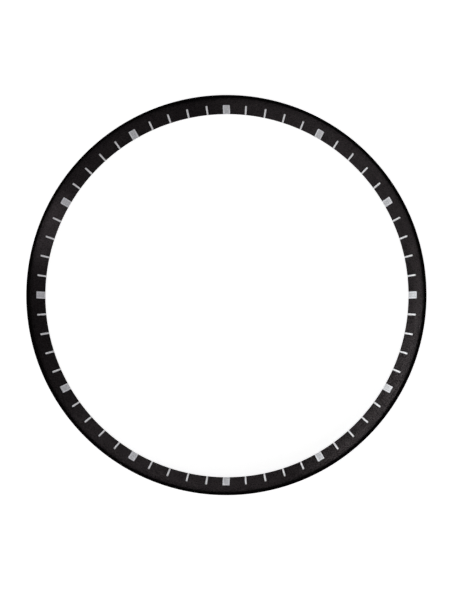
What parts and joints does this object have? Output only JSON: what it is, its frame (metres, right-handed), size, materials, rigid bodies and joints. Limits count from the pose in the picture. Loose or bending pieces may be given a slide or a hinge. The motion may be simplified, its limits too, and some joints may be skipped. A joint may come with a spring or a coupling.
{
  "type": "watch chapter ring",
  "caption": "Thin black ring with a sloped inner face that carries silver hour blocks and minute lines, to stand round a watch dial under the crystal.",
  "frame": {"origin": "centre of the ring on its underside plane", "axes": "+Z along the ring's axis towards the crystal, +Y towards the 12 o'clock mark, +X towards 3 o'clock"},
  "size_m": [0.0306, 0.0306, 0.0021],
  "materials": {
    "ring_black": "satin black over fine turning lines",
    "hour_print": "printed silver ink, mottled",
    "minute_print": "printed silver ink"
  },
  "bodies": {
    "root": {"ring_body": "ring_black", "hour_mark_01": "hour_print", "hour_mark_02": "hour_print", "hour_mark_03": "hour_print", "hour_mark_04": "hour_print", "hour_mark_05": "hour_print", "hour_mark_06": "hour_print", "hour_mark_07": "hour_print", "hour_mark_08": "hour_print", "hour_mark_09": "hour_print", "hour_mark_10": "hour_print", "hour_mark_11": "hour_print", "hour_mark_12": "hour_print", "minute_marks_01_to_04": "minute_print", "minute_marks_06_to_09": "minute_print", "minute_marks_11_to_14": "minute_print", "minute_marks_16_to_19": "minute_print", "minute_marks_21_to_24": "minute_print", "minute_marks_26_to_29": "minute_print", "minute_marks_31_to_34": "minute_print", "minute_marks_36_to_39": "minute_print", "minute_marks_41_to_44": "minute_print", "minute_marks_46_to_49": "minute_print", "minute_marks_51_to_54": "minute_print", "minute_marks_56_to_59": "minute_print"}
  },
  "joints": []
}
